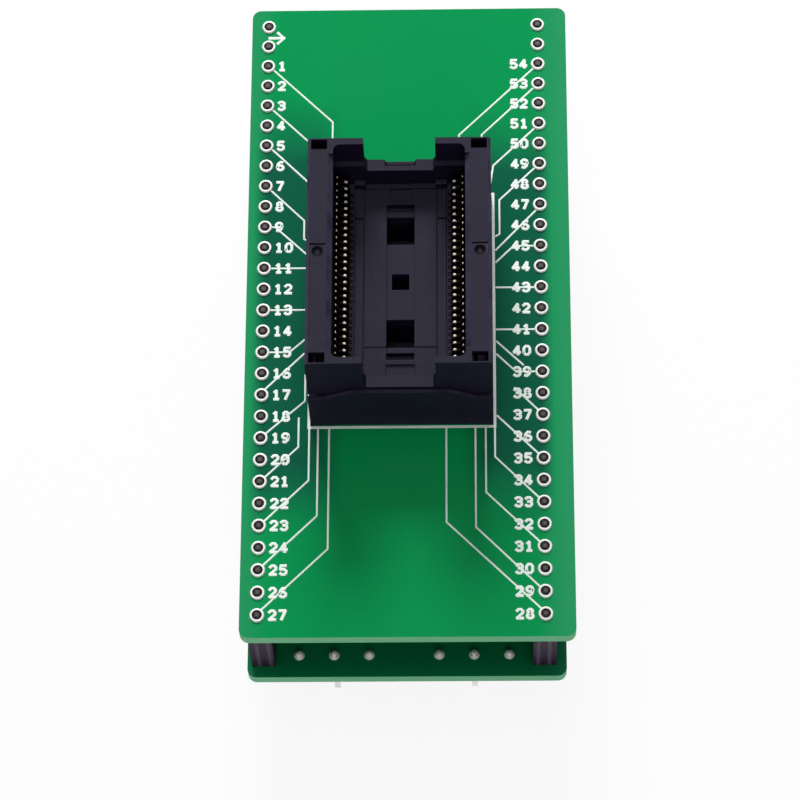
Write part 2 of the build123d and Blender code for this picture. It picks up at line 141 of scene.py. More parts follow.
# Fixed colours of the finishes
WHITE = (1, 1, 1, 1)
DUST_GREY = (0.2, 0.19, 0.21, 1.0)
# Painted shade in the rails' dimples
DIMPLE_SHADE = (0.002, 0.002, 0.003, 1.0)
# Painted shade in the hole round each pin's end
HOLE_SHADE = (0.012, 0.01, 0.01, 1.0)
RING_BRIGHT = (0.92, 0.92, 0.91, 1.0)
RING_DULL = (0.84, 0.84, 0.83, 1.0)
SOLDER_DULL = (0.82, 0.81, 0.79)
# Cut pin ends: dull, with painted shade that is darkest at the rim
CUT_END_DULL_SHADED = (0.09, 0.066, 0.06, 1.0)
CUT_RIM_SHADE = (0.006, 0.005, 0.005, 1.0)
PIN_DULL = (0.66, 0.64, 0.6, 1.0)
WIRE_GREY = (0.6, 0.6, 0.62)
WIRE_DULL = (0.35, 0.34, 0.34)

# Fixed values of the finishes
GRAIN_DEPTH = 0.02 * MM
MASK_SHEEN = 0.17
PLASTIC_SHEEN = 0.06
RING_SHEEN = 0.2
# Shares of the colour for the painted shade on plastic faces that aren't level
SIDE_SHADE_SHARES = (0.5, 0.38, 0.64)
WORN_SHARE = 0.93
# Paling of the rounded upper edges: wear and a painted highlight
EDGE_WEAR_AND_HIGHLIGHT_AMOUNT = 0.6
EDGE_WEAR_AND_HIGHLIGHT_PALER = 2.6
RIB_PALER = 2.2
DIMPLE_INSET = 1.2 * MM
DIMPLE_SHIFT = 0.15 * MM
NOSE_OFF = 5.85 * MM
NOSE_HALF = 0.19 * MM

# Each lamp's name, place, size and power at light level 1
LAMPS = (
    ("high_lamp", (-0.03, -0.02, 0.8), 0.28, 1.3),
    ("rear_lamp", (-0.05, 0.64, 0.44), 0.3, 7.2),
    ("front_lamp", (0.05, -0.62, 0.3), 0.4, 0.9),
)
WORLD_LEVEL = 0.17
FLOOR_RINGS = ((0.02, 0), (1.2, 0), (1.5, 0.03), (1.75, 0.12), (1.9, 0.3))
FLOOR_SIDES = 64

# Camera fitted to the pin ends in the photograph
CAMERA_PLACE = (8.56 * MM, -160.36 * MM, 363.46 * MM)
CAMERA_RIGHT = (0.9996, 0.0031, -0.0263)
CAMERA_TOWARD = (-0.0253, 0.4021, -0.9152)
CAMERA_LENS = 154.7
CAMERA_SENSOR = 36

# White lines of the upper board, in mm from the middle of the pin grid
LEFT_LINES = (
    ((-14.72, 30.1), (-7.87, 23.3), (-7.87, 14.2)),
    ((-14.74, 25.0), (-8.9, 19.2), (-8.9, 14.2)),
    ((-14.64, 19.9), (-10.3, 15.5)),
    ((-14.73, 14.8), (-10.9, 10.95), (-10.9, 8.7), (-10.3, 8.3)),
    ((-14.69, 10.16), (-14.1, 10.16), (-10.3, 6.5)),
    ((-14.71, 5.08), (-10.3, 5.08)),
    ((-14.62, 0), (-10.3, 0)),
    ((-14.63, -5.08), (-12.29, -5.08), (-10.3, -3.3)),
    ((-14.9, -9.5), (-10.3, -4.9)),
    ((-14.81, -14.8), (-10.5, -10.9), (-10.5, -7.8)),
    ((-14.7, -19.8), (-11.15, -16.3), (-11.15, -12.9)),
    ((-14.8, -25.0), (-10.0, -20.2), (-10.0, -14.2)),
    ((-14.8, -30.0), (-9.05, -24.3), (-9.05, -14.2)),
    ((-14.85, -35.0), (-7.85, -28.1), (-7.85, -14.2)),
)
RIGHT_LINES = (
    ((14.7, 29.9), (6.3, 21.5), (6.3, 14.2)),
    ((14.7, 27.4), (8.84, 21.5), (8.84, 14.2)),
    ((14.8, 22.3), (10.1, 17.6), (9.6, 14.2)),
    ((14.64, 17.2), (10.75, 13.3), (10.75, 9.1), (10.3, 8.8)),
    ((14.8, 12.0), (10.3, 7.1)),
    ((14.63, 7.6), (12.27, 7.6), (10.3, 5.6)),
    ((14.68, 2.54), (10.3, 2.54)),
    ((14.61, -2.54), (10.3, -2.54)),
    ((14.76, -7.6), (12.38, -7.6), (10.3, -5.5)),
    ((13.19, -6.81), (10.3, -3.97)),
    ((14.68, -12.1), (12.2, -9.5)),
    ((14.75, -17.3), (10.3, -12.8)),
    ((14.64, -22.3), (10.04, -17.6), (10.04, -14.2)),
    ((14.9, -27.6), (9.05, -21.7), (9.05, -14.2)),
    ((14.75, -32.6), (7.94, -25.7), (7.94, -14.2)),
    ((14.8, -35.0), (4.8, -25.1), (4.8, -14.2)),
)
ARROW = (
    ((-15.2, 34.15), (-13.5, 34.15)),
    ((-14.25, 34.85), (-13.5, 34.15), (-14.25, 33.45)),
)

# Strokes of each digit in a cell 0.7 wide and 1 high
DIGIT_STROKES = {
    "0": (((0, .25), (.2, 0), (.5, 0), (.7, .25), (.7, .75), (.5, 1), (.2, 1), (0, .75),
           (0, .25)),),
    "1": (((.12, .8), (.35, 1)), ((.35, 1), (.35, 0)), ((.1, 0), (.6, 0))),
    "2": (((0, .8), (.2, 1), (.5, 1), (.7, .8), (.68, .6), (0, 0)), ((0, 0), (.72, 0))),
    "3": (((0, .86), (.2, 1), (.5, 1), (.7, .82), (.7, .68), (.5, .53), (.25, .53)),
          ((.5, .53), (.7, .38), (.7, .18), (.5, 0), (.2, 0), (0, .14))),
    "4": (((.75, .28), (0, .28)), ((0, .3), (.5, 1)), ((.5, 1), (.5, 0))),
    "5": (((.68, 1), (.1, 1)), ((.1, 1), (.05, .56)),
          ((.05, .56), (.45, .6), (.7, .42), (.7, .18), (.5, 0), (.2, 0), (0, .14))),
    "6": (((.62, .94), (.35, 1), (.1, .75), (0, .35), (.08, .1), (.25, 0), (.5, 0), (.7, .18),
           (.7, .38), (.5, .55), (.2, .55), (.02, .35)),),
    "7": (((0, 1), (.7, 1)), ((.7, 1), (.25, 0))),
    "8": (((.35, .54), (.08, .68), (.08, .88), (.25, 1), (.45, 1), (.62, .88), (.62, .68),
           (.35, .54), (.02, .36), (0, .15), (.2, 0), (.5, 0), (.7, .15), (.68, .36), (.35, .54)),),
    "9": (((.08, .06), (.35, 0), (.6, .25), (.7, .65), (.62, .9), (.45, 1), (.2, 1), (0, .82),
           (0, .62), (.2, .45), (.5, .45), (.68, .65)),),
}


class AdapterSizes(bpy.types.PropertyGroup):
    """Sizes of the pieces that are added to the frame."""

    pad_outer: bpy.props.FloatProperty(
        name="Pad Radius", description="Outer radius of a tinned ring on the upper board",
        default=0.8 * MM, unit="LENGTH", subtype="DISTANCE")
    pad_inner: bpy.props.FloatProperty(
        name="Pad Hole Radius", description="Radius of the dark hole round a pin's end",
        default=0.52 * MM, unit="LENGTH", subtype="DISTANCE")
    pad_height: bpy.props.FloatProperty(
        name="Solder Height", description="Height of the solder crest above the board",
        default=0.22 * MM, unit="LENGTH", subtype="DISTANCE")
    line_width: bpy.props.FloatProperty(
        name="Line Width", description="Width of the white lines that run to the pins",
        default=0.21 * MM, unit="LENGTH", subtype="DISTANCE")
    digit_width: bpy.props.FloatProperty(
        name="Digit Stroke", description="Stroke width of the pin numbers",
        default=0.33 * MM, unit="LENGTH", subtype="DISTANCE")
    digit_height: bpy.props.FloatProperty(
        name="Digit Height", description="Height of the pin numbers between stroke middles",
        default=1.0 * MM, unit="LENGTH", subtype="DISTANCE")
    ink_height: bpy.props.FloatProperty(
        name="Ink Height", description="Thickness of the white print",
        default=0.04 * MM, unit="LENGTH", subtype="DISTANCE")
    joint_radius: bpy.props.FloatProperty(
        name="Joint Radius", description="Radius of a solder joint on the lower board",
        default=0.6 * MM, unit="LENGTH", subtype="DISTANCE")
    edge_radius: bpy.props.FloatProperty(
        name="Moulding Edge Radius", description="Rounding of the socket mouldings' edges",
        default=0.09 * MM, unit="LENGTH", subtype="DISTANCE")
    strip_radius: bpy.props.FloatProperty(
        name="Contact Edge Radius", description="Rounding of the contact strips' edges",
        default=0.07 * MM, unit="LENGTH", subtype="DISTANCE")


class AdapterColours(bpy.types.PropertyGroup):
    """Colours of the finishes."""

    mask: bpy.props.FloatVectorProperty(
        name="Mask Green", description="Solder mask over the open laminate",
        default=(0.001, 0.285, 0.078), size=3, subtype="COLOR", min=0, max=1)
    mask_margin: bpy.props.FloatVectorProperty(
        name="Mask Margin Green", description="Solder mask along the long edges of the boards",
        default=(0.022, 0.29, 0.115), size=3, subtype="COLOR", min=0, max=1)
    mask_deep: bpy.props.FloatVectorProperty(
        name="Mask Deep Green", description="Solder mask over the copper round the socket",
        default=(0.004, 0.085, 0.053), size=3, subtype="COLOR", min=0, max=1)
    laminate: bpy.props.FloatVectorProperty(
        name="Laminate Edge", description="Cut edge of the boards",
        default=(0.22, 0.62, 0.34), size=3, subtype="COLOR", min=0, max=1)
    ink: bpy.props.FloatVectorProperty(
        name="White Print", description="Ink of the lines and numbers",
        default=(0.9, 0.98, 0.93), size=3, subtype="COLOR", min=0, max=1)
    socket: bpy.props.FloatVectorProperty(
        name="Socket Plastic", description="Moulded plastic of the socket",
        default=(0.025, 0.0225, 0.039), size=3, subtype="COLOR", min=0, max=1)
    header: bpy.props.FloatVectorProperty(
        name="Header Plastic", description="Moulded plastic of the strips and bars",
        default=(0.05, 0.038, 0.055), size=3, subtype="COLOR", min=0, max=1)
    gold: bpy.props.FloatVectorProperty(
        name="Contact Gold", description="Gold plating of the contacts",
        default=(1.0, 0.93, 0.84), size=3, subtype="COLOR", min=0, max=1)
    gold_worn: bpy.props.FloatVectorProperty(
        name="Worn Gold", description="Gold plating where it is duller",
        default=(0.95, 0.78, 0.62), size=3, subtype="COLOR", min=0, max=1)
    # Painted shade: the dark plating between each contact's highlights, and on the fixed contacts
    gold_deep: bpy.props.FloatVectorProperty(
        name="Gold In Shade", description="Plating down inside the rows, dull and dark",
        default=(0.02, 0.013, 0.01), size=3, subtype="COLOR", min=0, max=1)
    tin: bpy.props.FloatVectorProperty(
        name="Tin", description="Solder and tinned metal",
        default=(0.97, 0.97, 0.95), size=3, subtype="COLOR", min=0, max=1)


class AdapterStage(bpy.types.PropertyGroup):
    """Floor and light of the stage."""

    floor: bpy.props.FloatVectorProperty(
        name="Floor Colour", description="Colour of the pale floor",
        default=(0.86, 0.86, 0.86), size=3, subtype="COLOR", min=0, max=1)
    light: bpy.props.FloatProperty(
        name="Light Level", description="Strength of the soft lamps", default=0.98, min=0)


# Node helpers

def feed(tree, node, inputs):
    """Give a node its inputs. One that is a socket is linked, and any other is typed in."""
    for key, value in inputs.items():
        if isinstance(value, bpy.types.NodeSocket):
            tree.links.new(value, node.inputs[key])
        else:
            node.inputs[key].default_value = value


def add_node(tree, kind, inputs=None, **settings):
    """Add a shader node with its settings and inputs."""
    made = tree.nodes.new(kind)
    for key, value in settings.items():
        setattr(made, key, value)
    feed(tree, made, inputs or {})
    return made


def mixed(tree, mask, first, second):
    """Colour that goes from the first to the second as the mask goes from 0 to 1."""
    inputs = {0: mask, 6: first, 7: second}
    return add_node(tree, "ShaderNodeMix", inputs, data_type="RGBA").outputs[2]


def ranged(tree, value, low, high, to_low=0.0, to_high=1.0):
    """Value moved from one range to another, held at both ends."""
    inputs = {0: value, 1: low, 2: high, 3: to_low, 4: to_high}
    return add_node(tree, "ShaderNodeMapRange", inputs, clamp=True).outputs[0]


def reckoned(tree, operation, first, second=0.0):
    """Sum, product or other working of one or two values."""
    return add_node(tree, "ShaderNodeMath", {0: first, 1: second}, operation=operation).outputs[0]


def between(tree, value, rise, fall):
    """Mask that rises over one range of a value and falls over another."""
    return reckoned(tree, "MULTIPLY", ranged(tree, value, *rise), ranged(tree, value, *fall))


def facing_up(tree):
    """Upward part of the surface's normal."""
    geometry = add_node(tree, "ShaderNodeNewGeometry")
    return add_node(tree, "ShaderNodeSeparateXYZ", {0: geometry.outputs["Normal"]}).outputs["Z"]


def off_line(tree, along, middle, pitch):
    """Distance from the nearest of a row of places at a pitch, one of them at the middle."""
    shifted = reckoned(tree, "SUBTRACT", along, middle - pitch * 40)
    return reckoned(tree, "PINGPONG", reckoned(tree, "FLOORED_MODULO", shifted, pitch), pitch / 2)


def far_off(tree, across, along):
    """Distance worked from its parts across and along."""
    squares = reckoned(tree, "ADD", reckoned(tree, "MULTIPLY", across, across),
                       reckoned(tree, "MULTIPLY", along, along))
    return reckoned(tree, "SQRT", squares)


def from_pin(tree, place):
    """Distance from the middle line of the nearest pin of the header grid."""
    parts = add_node(tree, "ShaderNodeSeparateXYZ", {0: place})
    return far_off(tree, off_line(tree, parts.outputs["X"], GRID_X, PITCH),
                   off_line(tree, parts.outputs["Y"], ROW_Y, PITCH))


def rgba(colour):
    """Colour with a full alpha."""
    return (*colour, 1.0)


def scaled(colour, share):
    """Colour made paler or darker, up to full."""
    return [min(1.0, channel * share) for channel in colour]


def new_group(name, inputs, outputs):
    """Empty node group with named inputs and outputs."""
    group = bpy.data.node_groups.new(name, "ShaderNodeTree")
    for label, kind, value in inputs:
        made = group.interface.new_socket(name=label, in_out="INPUT", socket_type=kind)
        if value is not None:
            made.default_value = value
    for label, kind in outputs:
        group.interface.new_socket(name=label, in_out="OUTPUT", socket_type=kind)
    return group, group.nodes.new("NodeGroupInput"), group.nodes.new("NodeGroupOutput")


def fine_grain():
    """Group: fine grain for bump, and a slow drift for colour and roughness."""
    if "Fine Grain" in bpy.data.node_groups:
        return bpy.data.node_groups["Fine Grain"]
    group, start, end = new_group(
        "Fine Grain",
        (("Place", "NodeSocketVector", None), ("Grain Scale", "NodeSocketFloat", 9000.0),
         ("Drift Scale", "NodeSocketFloat", 120.0)),
        (("Grain", "NodeSocketFloat"), ("Drift", "NodeSocketFloat")))
    grain = add_node(group, "ShaderNodeTexNoise", {
        "Vector": start.outputs["Place"], "Scale": start.outputs["Grain Scale"],
        "Detail": 3.0, "Roughness": 0.6})
    drift = add_node(group, "ShaderNodeTexNoise", {
        "Vector": start.outputs["Place"], "Scale": start.outputs["Drift Scale"], "Detail": 2.0})
    feed(group, end, {
        "Grain": grain.outputs["Fac"], "Drift": ranged(group, drift.outputs["Fac"], 0.3, 0.7)})
    return group


def settled_dust():
    """Group: mask of the faint dust that settles on level faces."""
    if "Settled Dust" in bpy.data.node_groups:
        return bpy.data.node_groups["Settled Dust"]
    group, start, end = new_group(
        "Settled Dust",
        (("Place", "NodeSocketVector", None), ("Amount", "NodeSocketFloat", 0.2)),
        (("Mask", "NodeSocketFloat"),))
    level = ranged(group, facing_up(group), 0.7, 1.0)
    specks = add_node(group, "ShaderNodeTexNoise", {
        "Vector": start.outputs["Place"], "Scale": 2600.0, "Detail": 4.0, "Roughness": 0.7})
    spots = ranged(group, specks.outputs["Fac"], 0.5, 0.72)
    spread = reckoned(group, "MULTIPLY", level, spots)
    feed(group, end, {"Mask": reckoned(group, "MULTIPLY", spread, start.outputs["Amount"])})
    return group


def edge_wear():
    """Group: mask of the rounded upper edges, paled by handling and by a painted highlight."""
    if "Edge Wear" in bpy.data.node_groups:
        return bpy.data.node_groups["Edge Wear"]
    group, start, end = new_group(
        "Edge Wear",
        (("Place", "NodeSocketVector", None), ("Amount", "NodeSocketFloat", 0.5)),
        (("Mask", "NodeSocketFloat"),))
    rounded = between(group, facing_up(group), (0.3, 0.55), (0.97, 0.87))
    rubbed = add_node(group, "ShaderNodeTexNoise", {
        "Vector": start.outputs["Place"], "Scale": 700.0, "Detail": 3.0})
    patchy = ranged(group, rubbed.outputs["Fac"], 0.3, 0.6, 0.4, 1.0)
    worn = reckoned(group, "MULTIPLY", rounded, patchy)
    feed(group, end, {"Mask": reckoned(group, "MULTIPLY", worn, start.outputs["Amount"])})
    return group


def start_material(name):
    """Material with its tree, its surface shader and the place on the object."""
    made = bpy.data.materials.new(name)
    made.use_nodes = True
    tree = made.node_tree
    place = add_node(tree, "ShaderNodeTexCoord").outputs["Object"]
    return made, tree, tree.nodes["Principled BSDF"], place


def grain_of(tree, place, grain_scale, drift_scale):
    """Grain and drift outputs of the fine grain group."""
    inputs = {"Place": place, "Grain Scale": grain_scale, "Drift Scale": drift_scale}
    made = add_node(tree, "ShaderNodeGroup", inputs, node_tree=fine_grain())
    return made.outputs["Grain"], made.outputs["Drift"]


def mask_of(tree, group, place, amount):
    """Mask output of an effect's group."""
    inputs = {"Place": place, "Amount": amount}
    return add_node(tree, "ShaderNodeGroup", inputs, node_tree=group).outputs["Mask"]


def bumped(tree, surface, height, strength, distance=GRAIN_DEPTH):
    """Bump the surface's normal by a height."""
    bump = add_node(tree, "ShaderNodeBump", {
        "Height": height, "Strength": strength, "Distance": distance})
    feed(tree, surface, {"Normal": bump.outputs[0]})


def board_material(name, colours, deep):
    """Solder mask on the level faces and bare laminate on the cut edges.

    The mask is darkest over the copper on each side of the socket, whose ends are ragged.
    Deep is the least share of that dark mask anywhere.
    """
    made, tree, surface, place = start_material(name)
    grain, drift = grain_of(tree, place, 5200.0, 55.0)
    spot = add_node(tree, "ShaderNodeMapping", {
        "Vector": place, "Location": (-GRID_X / BOARD_HALF_X, -ROW_Y / POUR_HALF_Y, 0),
        "Scale": (1 / BOARD_HALF_X, 1 / POUR_HALF_Y, 0)})
    parts = add_node(tree, "ShaderNodeSeparateXYZ", {0: spot.outputs[0]})
    across = reckoned(tree, "ABSOLUTE", parts.outputs["X"])
    along = reckoned(tree, "ABSOLUTE", parts.outputs["Y"])
    ragged = reckoned(tree, "MULTIPLY", reckoned(tree, "SUBTRACT", drift, 0.5), 0.3)
    band = between(tree, across, (0.35, 0.55), (0.93, 0.85))
    copper = reckoned(tree, "MULTIPLY", band,
                      ranged(tree, reckoned(tree, "ADD", along, ragged), 1.15, 0.75, 0.0, 0.9))
    copper = reckoned(tree, "MAXIMUM", copper, deep)
    margin = ranged(tree, across, 0.8, 1.0)
    open_mask = mixed(tree, margin, rgba(colours.mask), rgba(colours.mask_margin))
    mask = mixed(tree, copper, open_mask, rgba(colours.mask_deep))
    edge = ranged(tree, reckoned(tree, "ABSOLUTE", facing_up(tree)), 0.6, 0.4)
    layers = add_node(tree, "ShaderNodeTexWave", {
        "Vector": place, "Scale": 900.0, "Distortion": 2.0, "Detail": 2.0}, bands_direction="Z")
    laminate = mixed(tree, layers.outputs["Fac"], rgba(colours.laminate),
                     rgba(scaled(colours.laminate, 0.72)))
    shade = mixed(tree, edge, mask, laminate)
    gloss = ranged(tree, drift, 0.0, 1.0, 0.12, 0.18)
    feed(tree, surface, {
        "Base Color": shade, "Specular IOR Level": MASK_SHEEN,
        "Roughness": reckoned(tree, "MAXIMUM", gloss, reckoned(tree, "MULTIPLY", edge, 0.7))})
    bumped(tree, surface, grain, 0.08)
    return made


def dimple_mask(tree, place):
    """Mask of the painted shade in the round dimples in the tops of the cover's rails, whose
    middles stay clear.
    """
    low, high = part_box("socket_cover")
    x, y = (high.x - low.x) / 2 - DIMPLE_INSET, ROW_Y - DIMPLE_SHIFT
    parts = add_node(tree, "ShaderNodeSeparateXYZ", {0: place})
    off_x = reckoned(tree, "ABSOLUTE", reckoned(tree, "SUBTRACT", parts.outputs["X"], GRID_X))
    off_x = reckoned(tree, "SUBTRACT", off_x, x)
    off_y = reckoned(tree, "SUBTRACT", parts.outputs["Y"], y)
    reach = far_off(tree, off_x, off_y)
    return between(tree, reach, (0.12 * MM, 0.24 * MM), (0.66 * MM, 0.6 * MM))


def plastic_material(name, colour, roughness, dust, rib_scale=0.0, shade_dimples=False):
    """Moulded plastic with fine grain, a slow drift of tone, edges paled by wear and a painted
    highlight, and a little dust.

    Faces that aren't level get painted shade, darker than level faces. A rib scale adds fine
    upright ribs.
    """
    made, tree, surface, place = start_material(name)
    grain, drift = grain_of(tree, place, 7000.0, 160.0)
    level = ranged(tree, facing_up(tree), 0.75, 0.97)
    # Painted shade: faces that aren't level take a darker copy of the colour
    deep = [channel * share for channel, share in zip(colour, SIDE_SHADE_SHARES)]
    worn = mixed(tree, drift, rgba(scaled(colour, WORN_SHARE)), rgba(colour))
    shade = mixed(tree, level, rgba(deep), worn)
    shade = mixed(tree, mask_of(tree, settled_dust(), place, dust), shade, DUST_GREY)
    height = grain
    if rib_scale:
        ribs = add_node(tree, "ShaderNodeTexWave", {
            "Vector": place, "Scale": rib_scale, "Distortion": 0.6}, bands_direction="X")
        ridge = ribs.outputs["Fac"]
        height = reckoned(tree, "ADD", grain, reckoned(tree, "MULTIPLY", ridge, 2.0))
        shade = mixed(tree, ranged(tree, ridge, 0.6, 1.0, 0.0, 0.7), shade,
                      rgba(scaled(colour, RIB_PALER)))
    # Edges paled by wear, with a painted highlight on the upward rounded edges
    wear_and_highlight = mask_of(tree, edge_wear(), place, EDGE_WEAR_AND_HIGHLIGHT_AMOUNT)
    shade = mixed(tree, wear_and_highlight, shade, rgba(scaled(colour, EDGE_WEAR_AND_HIGHLIGHT_PALER)))
    # Painted shade in a ring inside each dimple of the rails
    if shade_dimples:
        shade = mixed(tree, dimple_mask(tree, place), shade, DIMPLE_SHADE)
    feed(tree, surface, {
        "Base Color": shade, "Specular IOR Level": PLASTIC_SHEEN,
        "Roughness": ranged(tree, drift, 0.0, 1.0, roughness, roughness + 0.1)})
    bumped(tree, surface, height, 0.2)
    return made


def metal_material(name, colour, tarnish, roughness, spread, metallic=1.0):
    """Plated or soldered metal that is duller and darker in patches."""
    made, tree, surface, place = start_material(name)
    grain, drift = grain_of(tree, place, 3500.0, spread)
    feed(tree, surface, {
        "Base Color": mixed(tree, ranged(tree, drift, 0.2, 0.9), rgba(colour), rgba(tarnish)),
        "Metallic": metallic,
        "Roughness": ranged(tree, drift, 0.0, 1.0, roughness, roughness + 0.15)})
    bumped(tree, surface, grain, 0.15)
    return made


def contact_material(name, colours):
    """Gold with a painted highlight on the two peaks of each contact and painted shade in between.
    """
    made, tree, surface, place = start_material(name)
    grain, drift = grain_of(tree, place, 3500.0, 700.0)
    parts = add_node(tree, "ShaderNodeSeparateXYZ", {0: place})
    across = reckoned(tree, "ABSOLUTE", reckoned(tree, "SUBTRACT", parts.outputs["X"], GRID_X))
    low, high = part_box("right_contact_arms")
    outer_peak = ranged(tree, parts.outputs["Z"], high.z - 0.16 * MM, high.z - 0.06 * MM)
    off_nose = reckoned(tree, "ABSOLUTE", reckoned(tree, "SUBTRACT", across, NOSE_OFF))
    inner_peak = reckoned(
        tree, "MULTIPLY", ranged(tree, off_nose, NOSE_HALF, NOSE_HALF - 0.06 * MM),
        ranged(tree, parts.outputs["Z"], high.z - 1.7 * MM, high.z - 1.3 * MM))
    off_strip = off_line(tree, parts.outputs["Y"], (low.y + high.y) / 2, CONTACT_PITCH)
    # Painted highlight on the two peaks of each strip, painted shade elsewhere
    peak_highlight = reckoned(tree, "MULTIPLY", reckoned(tree, "MAXIMUM", outer_peak, inner_peak),
                    ranged(tree, off_strip, 0.16 * MM, 0.09 * MM))
    gold = mixed(tree, drift, rgba(colours.gold), rgba(colours.gold_worn))
    feed(tree, surface, {
        "Base Color": mixed(tree, peak_highlight, rgba(colours.gold_deep), gold),
        "Metallic": ranged(tree, peak_highlight, 0.0, 1.0, 1.0, 0.3),
        "Roughness": ranged(tree, peak_highlight, 0.0, 1.0, 0.5, 0.4)})
    bumped(tree, surface, grain, 0.15)
    return made


def ring_material(name, hole):
    """Bright solder ring round a hole that is painted dark as shade."""
    made, tree, surface, place = start_material(name)
    grain, drift = grain_of(tree, place, 3500.0, 1400.0)
    reach = from_pin(tree, place)
    bright = mixed(tree, drift, RING_BRIGHT, RING_DULL)
    # Inside the hole the ring is painted dark as shade
    outside = ranged(tree, reach, hole - 0.01 * MM, hole + 0.04 * MM)
    feed(tree, surface, {
        "Base Color": mixed(tree, outside, HOLE_SHADE, bright),
        "Metallic": 0.1, "Roughness": 0.4, "Specular IOR Level": RING_SHEEN})
    bumped(tree, surface, grain, 0.12)
    return made


def pin_material(name, colours):
    """Tinned pins whose cut ends are dull and carry painted shade, darkest near the edge."""
    made, tree, surface, place = start_material(name)
    grain, drift = grain_of(tree, place, 4200.0, 900.0)
    # Painted shade on the pins' cut ends, darkest at the rim where they sit down in the hole
    rim = ranged(tree, from_pin(tree, place), 0.12 * MM, 0.26 * MM)
    cut = ranged(tree, facing_up(tree), 0.8, 0.95)
    end = mixed(tree, rim, CUT_END_DULL_SHADED, CUT_RIM_SHADE)
    shank = mixed(tree, drift, rgba(colours.tin), PIN_DULL)
    feed(tree, surface, {
        "Base Color": mixed(tree, cut, shank, end),
        "Metallic": ranged(tree, cut, 0.0, 1.0, 1.0, 0.35),
        "Roughness": ranged(tree, cut, 0.0, 1.0, 0.32, 0.55)})
    bumped(tree, surface, grain, 0.12)
    return made


def print_material(name, colours):
    """White ink, a little duller in patches."""
    made, tree, surface, place = start_material(name)
    grain, drift = grain_of(tree, place, 4000.0, 500.0)
    dull = scaled(colours.ink, 0.86)
    feed(tree, surface, {
        "Base Color": mixed(tree, drift, rgba(colours.ink), rgba(dull)), "Roughness": 0.6})
    bumped(tree, surface, grain, 0.2, GRAIN_DEPTH / 2)
    return made


def finish_named(name):
    """Material of a finish, made at its first use."""
    if name in bpy.data.materials:
        return bpy.data.materials[name]
    colours = bpy.context.scene.adapter_colours
    hole = bpy.context.scene.adapter_sizes.pad_inner
    gold, tin = colours.gold_deep, colours.tin
    makers = {
        "upper_board_finish": lambda: board_material(name, colours, 0.0),
        "lower_board_finish": lambda: board_material(name, colours, 0.45),
        "white_print": lambda: print_material(name, colours),
        "socket_moulding": lambda: plastic_material(name, colours.socket, 0.4, 0.04, shade_dimples=True),
        "header_moulding": lambda: plastic_material(name, colours.header, 0.45, 0.15),
        "strip_moulding": lambda: plastic_material(name, colours.header, 0.4, 0.1, 260.0),
        "gold_contacts": lambda: contact_material(name, colours),
        # Fixed contacts: duller gold, darkened by painted shade that hides their seats
        "dull_gold": lambda: metal_material(name, gold, gold, 0.5, 700.0),
        "ring_solder": lambda: ring_material(name, hole),
        "solder": lambda: metal_material(name, tin, SOLDER_DULL, 0.3, 1400.0, 0.12),
        "tinned_pins": lambda: pin_material(name, colours),
        "spring_wire": lambda: metal_material(name, WIRE_GREY, WIRE_DULL, 0.25, 900.0),
    }
    if name not in makers:
        raise RuntimeError(f"there is no finish named {name}")
    return makers[name]()


# Modelling helpers

def linked(name, data):
    """New object for some data, put in the scene."""
    made = bpy.data.objects.new(name, data)
    bpy.context.scene.collection.objects.link(made)
    return made


def clear_selection():
    """Leave edit mode with nothing selected."""
    if bpy.context.object and bpy.context.object.mode != "OBJECT":
        bpy.ops.object.mode_set(mode="OBJECT")
    bpy.ops.object.select_all(action="DESELECT")


def only(piece):
    """Make a piece the only one selected, and active."""
    clear_selection()
    piece.select_set(True)
    bpy.context.view_layer.objects.active = piece


def begin_edit(piece, parts="VERT"):
    """Edit a piece with nothing in it selected."""
    only(piece)
    bpy.ops.object.mode_set(mode="EDIT")
    bpy.ops.mesh.select_mode(type=parts)
    bpy.ops.mesh.select_all(action="DESELECT")


def end_edit():
    """Back to object mode."""
    bpy.ops.object.mode_set(mode="OBJECT")


def select_parts(piece, kind, test):
    """In edit mode, select the vertices, edges or faces that pass a test."""
    bpy.ops.object.mode_set(mode="OBJECT")
    for part in getattr(piece.data, kind):
        part.select = bool(test(part))
    bpy.ops.object.mode_set(mode="EDIT")


def apply_modifier(piece, kind, **settings):
    """Add a modifier and apply it."""
    only(piece)
    modifier = piece.modifiers.new(kind.lower(), kind)
    for key, value in settings.items():
        setattr(modifier, key, value)
    bpy.ops.object.modifier_apply(modifier=modifier.name)


def in_rows(piece, count, step):
    """Repeat a piece along a line, each copy a step further."""
    apply_modifier(piece, "ARRAY", count=count, use_relative_offset=False, use_constant_offset=True,
                   constant_offset_displace=step, use_merge_vertices=False)


def settle(piece, name, body, finish, smooth=SMOOTH_ANGLE):
    """Put the piece's place in its mesh, give it a finish and let it ride on a body."""
    only(piece)
    bpy.ops.object.transform_apply(location=True, rotation=True, scale=True)
    bpy.ops.object.shade_smooth_by_angle(angle=radians(smooth))
    piece.name = name
    piece.data.name = name
    piece.data.materials.clear()
    piece.data.materials.append(finish_named(finish))
    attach(piece, body)


def dress(node, finish):
    """Give a CAD node a finish."""
    mesh = frame["nodes"][node].data
    mesh.materials.clear()
    mesh.materials.append(finish_named(finish))


